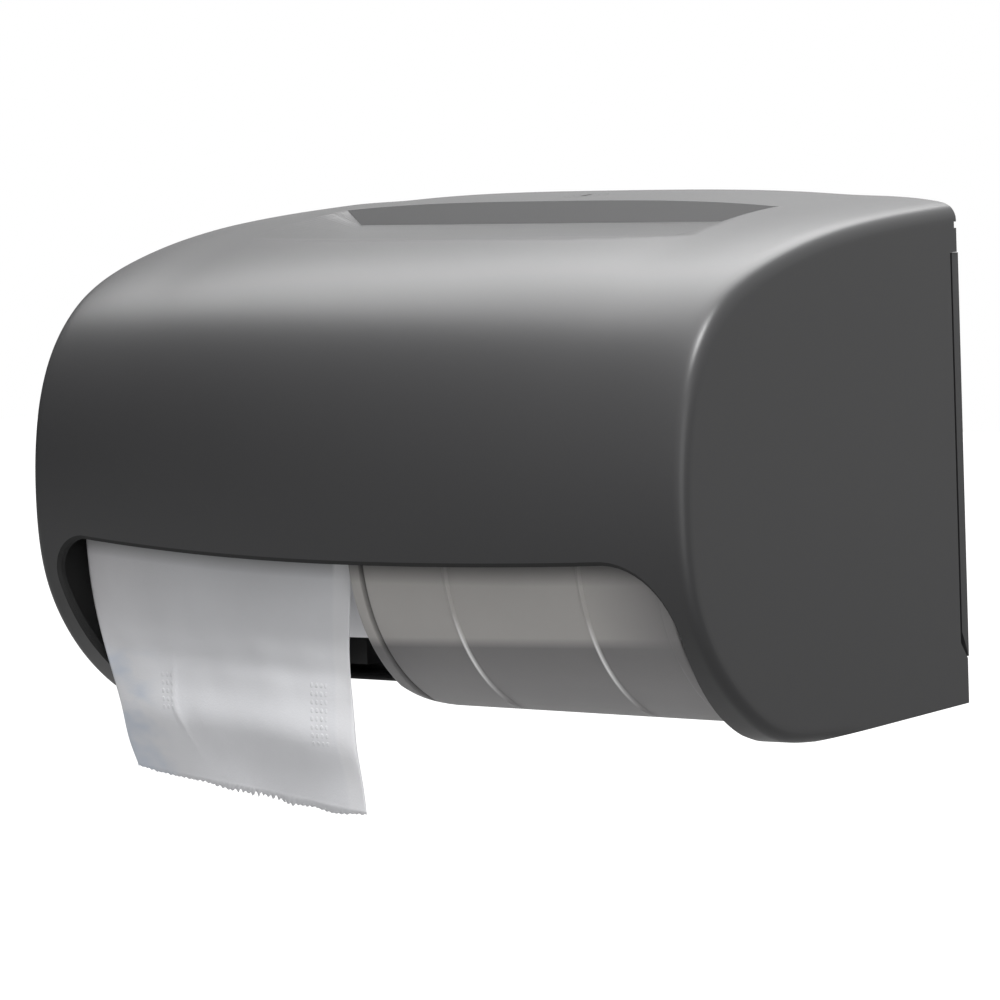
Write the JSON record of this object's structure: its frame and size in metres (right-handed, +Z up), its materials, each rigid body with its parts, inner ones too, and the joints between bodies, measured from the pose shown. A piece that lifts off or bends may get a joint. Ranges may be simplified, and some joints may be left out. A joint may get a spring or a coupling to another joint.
{
  "type": "twin toilet roll dispenser",
  "caption": "Wall cabinet for side-by-side toilet rolls: crowned dark cover hinged low on its brackets, front window, sliding frosted shutter, ribbed spindles and a key lock.",
  "frame": {"origin": "centre of the four wall screw holes, on the back plate's rear face", "axes": "+X to the right seen from the front, +Y into the wall, +Z up; the front faces -Y"},
  "size_m": [0.27, 0.1577, 0.1936],
  "materials": {
    "charcoal_plastic": "satin charcoal moulded ABS",
    "black_nylon": "matt black moulded nylon",
    "frosted_plastic": "frosted translucent grey polycarbonate",
    "zinc_plated_steel": "zinc plated",
    "galvanised_steel": "galvanised sheet",
    "lock_casting": "satin dark lacquered zinc casting",
    "core_card": "wound grey-brown board",
    "tissue": "embossed soft white tissue"
  },
  "bodies": {
    "root": {"back_plate": "charcoal_plastic", "left_bracket": "black_nylon", "right_bracket": "black_nylon", "centre_bracket": "black_nylon", "bracket_screws": "zinc_plated_steel", "hinge_pins": "zinc_plated_steel", "keeper": "galvanised_steel", "keeper_screws": "zinc_plated_steel", "hanging_tissue": "tissue"},
    "cover": {"cover": "charcoal_plastic", "lock_barrel": "lock_casting", "lock_nut": "zinc_plated_steel", "shutter_rail": "black_nylon", "rail_screws": "zinc_plated_steel"},
    "shutter": {"shutter": "frosted_plastic"},
    "lock": {"lock_plug": "lock_casting", "lock_cam": "galvanised_steel", "cam_screw": "zinc_plated_steel"},
    "left_roll": {"left_spindle": "black_nylon", "left_core": "core_card", "left_tissue_roll": "tissue"},
    "right_roll": {"right_spindle": "black_nylon", "right_core": "core_card", "right_tissue_roll": "tissue"}
  },
  "joints": [
    {"name": "cover_hinge", "type": "hinge", "parent": "root", "child": "cover", "pos_m": [0, -0.045, -0.072], "axis": [1, 0, 0], "range_deg": [0, 80]},
    {"name": "shutter_slide", "type": "slide", "parent": "cover", "child": "shutter", "axis": [-1, 0, 0], "range_m": [0, 0.118], "deforming": ["hanging_tissue"]},
    {"name": "lock_turn", "type": "hinge", "parent": "cover", "child": "lock", "pos_m": [0, -0.02, 0.082], "axis": [0, 0, -1], "range_deg": [0, 90]},
    {"name": "left_roll_spin", "type": "hinge", "parent": "root", "child": "left_roll", "pos_m": [-0.064, -0.079, 0.004], "axis": [1, 0, 0], "continuous": true},
    {"name": "right_roll_spin", "type": "hinge", "parent": "root", "child": "right_roll", "pos_m": [0.064, -0.079, 0.004], "axis": [1, 0, 0], "continuous": true}
  ]
}
